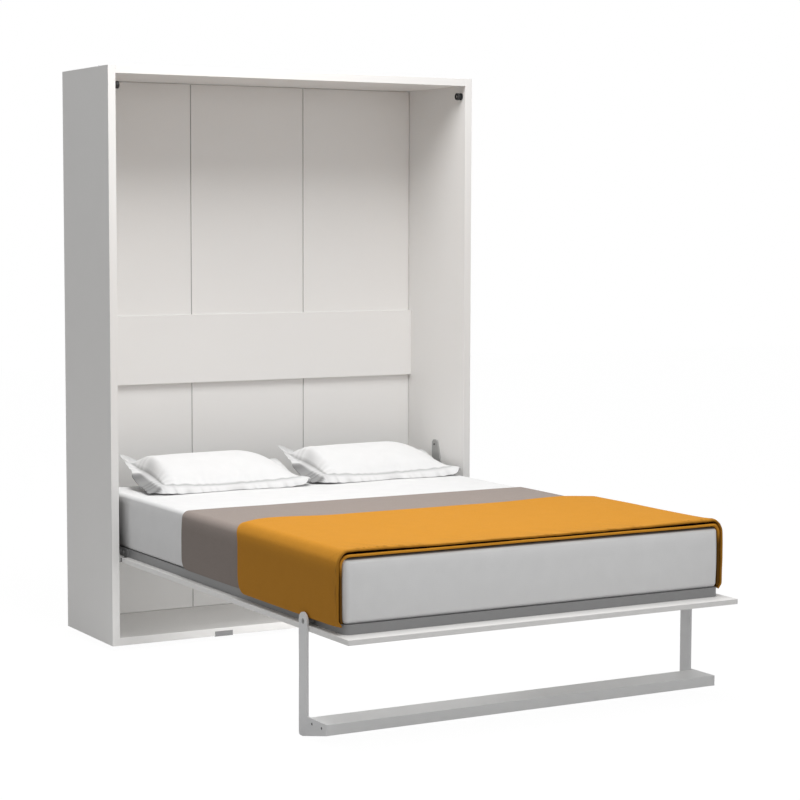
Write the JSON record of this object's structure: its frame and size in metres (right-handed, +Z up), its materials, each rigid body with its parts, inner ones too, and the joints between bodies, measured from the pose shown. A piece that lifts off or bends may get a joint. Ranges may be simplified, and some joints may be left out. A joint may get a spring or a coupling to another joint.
{
  "type": "wall bed",
  "caption": "White upright wall-bed cabinet with a made-up double bed folded down on a leg frame that becomes a shelf when the bed is folded up.",
  "frame": {"origin": "on the floor, at the bottom centre of the box that holds the open bed and its cabinet", "axes": "+Z up, +Y from the bed's foot towards the wall behind the cabinet, +X to the right seen from the bed's foot"},
  "size_m": [1.5764, 2.2828, 2.232],
  "materials": {
    "white_board": "white melamine-faced board, matt",
    "grey_board": "light grey faced board, matt",
    "grey_metal": "mid-grey powder coat, fine texture",
    "leg_metal": "light grey powder coat, matt",
    "black_metal": "black paint, half gloss",
    "bracket_steel": "zinc-plated pressed steel",
    "steel_fasteners": "plated steel",
    "rod_chrome": "polished rod",
    "black_rubber": "matt rubber",
    "black_plastic": "matt moulded plastic",
    "slat_wood": "plain birch layers, satin",
    "beech": "plain fluted dowel wood",
    "mattress_cloth": "smooth white stretch cover",
    "taupe_cloth": "soft matt weave",
    "orange_cloth": "soft matt weave with hemmed edges",
    "pillow_cloth": "white cotton with a flat flange"
  },
  "bodies": {
    "cabinet": {"left_side_panel": "white_board", "right_side_panel": "white_board", "top_panel": "white_board", "bottom_panel": "white_board", "back_board_left": "white_board", "back_board_middle": "white_board", "back_board_right": "white_board", "cross_rail": "white_board", "carcass_dowels": "beech", "cam_fittings": "steel_fasteners", "left_stop_buffer": "black_rubber", "right_stop_buffer": "black_rubber", "buffer_screws": "steel_fasteners", "left_cabinet_hinge_plate": "grey_metal", "right_cabinet_hinge_plate": "grey_metal", "hinge_plate_screws": "steel_fasteners", "left_pivot_pin": "steel_fasteners", "right_pivot_pin": "steel_fasteners", "pivot_bushes": "black_plastic", "left_strut_top_pin": "steel_fasteners", "right_strut_top_pin": "steel_fasteners", "left_glide_bracket": "grey_metal", "right_glide_bracket": "grey_metal", "glide_bracket_screws": "steel_fasteners", "levelling_glides": "black_plastic", "left_wall_bracket": "bracket_steel", "right_wall_bracket": "bracket_steel", "wall_bracket_screws": "steel_fasteners", "cross_rail_screws": "steel_fasteners"},
    "bed": {"bed_panel": "white_board", "left_frame_rail": "grey_metal", "right_frame_rail": "grey_metal", "head_frame_rail": "grey_metal", "foot_frame_rail": "grey_metal", "cross_bars": "grey_metal", "panel_screws": "steel_fasteners", "slats": "slat_wood", "left_slat_holders": "black_plastic", "right_slat_holders": "black_plastic", "left_bed_hinge_plate": "grey_metal", "right_bed_hinge_plate": "grey_metal", "hinge_plate_bolts": "steel_fasteners", "left_leg_pivot": "steel_fasteners", "right_leg_pivot": "steel_fasteners", "mattress": "mattress_cloth", "taupe_blanket": "taupe_cloth", "orange_blanket": "orange_cloth", "left_pillow": "pillow_cloth", "right_pillow": "pillow_cloth"},
    "leg": {"left_leg_plate": "leg_metal", "right_leg_plate": "leg_metal", "shelf_board": "grey_board", "leg_screws": "steel_fasteners"},
    "left_cylinder": {"left_strut_cylinder": "black_metal"},
    "left_rod": {"left_strut_rod": "rod_chrome", "left_strut_foot_pin": "steel_fasteners"},
    "right_cylinder": {"right_strut_cylinder": "black_metal"},
    "right_rod": {"right_strut_rod": "rod_chrome", "right_strut_foot_pin": "steel_fasteners"}
  },
  "joints": [
    {"name": "bed_fold", "type": "hinge", "parent": "cabinet", "child": "bed", "pos_m": [0, 0.6791, 0.34895], "axis": [-1, 0, 0], "range_deg": [0, 90]},
    {"name": "leg_swing", "type": "hinge", "parent": "bed", "child": "leg", "pos_m": [0, -0.84985, 0.37], "axis": [1, 0, 0], "range_deg": [0, 90]},
    {"name": "left_strut_swing", "type": "hinge", "parent": "cabinet", "child": "left_cylinder", "pos_m": [-0.739, 0.82015, 0.562], "axis": [-1, 0, 0], "range_deg": [0, 6.9]},
    {"name": "left_strut_slide", "type": "slide", "parent": "left_cylinder", "child": "left_rod", "axis": [0, -0.2188, -0.9758], "range_m": [0, 0.14467]},
    {"name": "right_strut_swing", "type": "hinge", "parent": "cabinet", "child": "right_cylinder", "pos_m": [0.739, 0.82015, 0.562], "axis": [-1, 0, 0], "range_deg": [0, 6.9]},
    {"name": "right_strut_slide", "type": "slide", "parent": "right_cylinder", "child": "right_rod", "axis": [0, -0.2188, -0.9758], "range_m": [0, 0.14467]}
  ],
  "couplings": [
    {"joint": "leg_swing", "follows": "bed_fold", "ratio": 1},
    {"joint": "left_strut_swing", "follows": "bed_fold", "ratio": 0.076574},
    {"joint": "left_strut_slide", "follows": "bed_fold", "m_per_rad": 0.092034},
    {"joint": "right_strut_swing", "follows": "bed_fold", "ratio": 0.076574},
    {"joint": "right_strut_slide", "follows": "bed_fold", "m_per_rad": 0.092034}
  ]
}
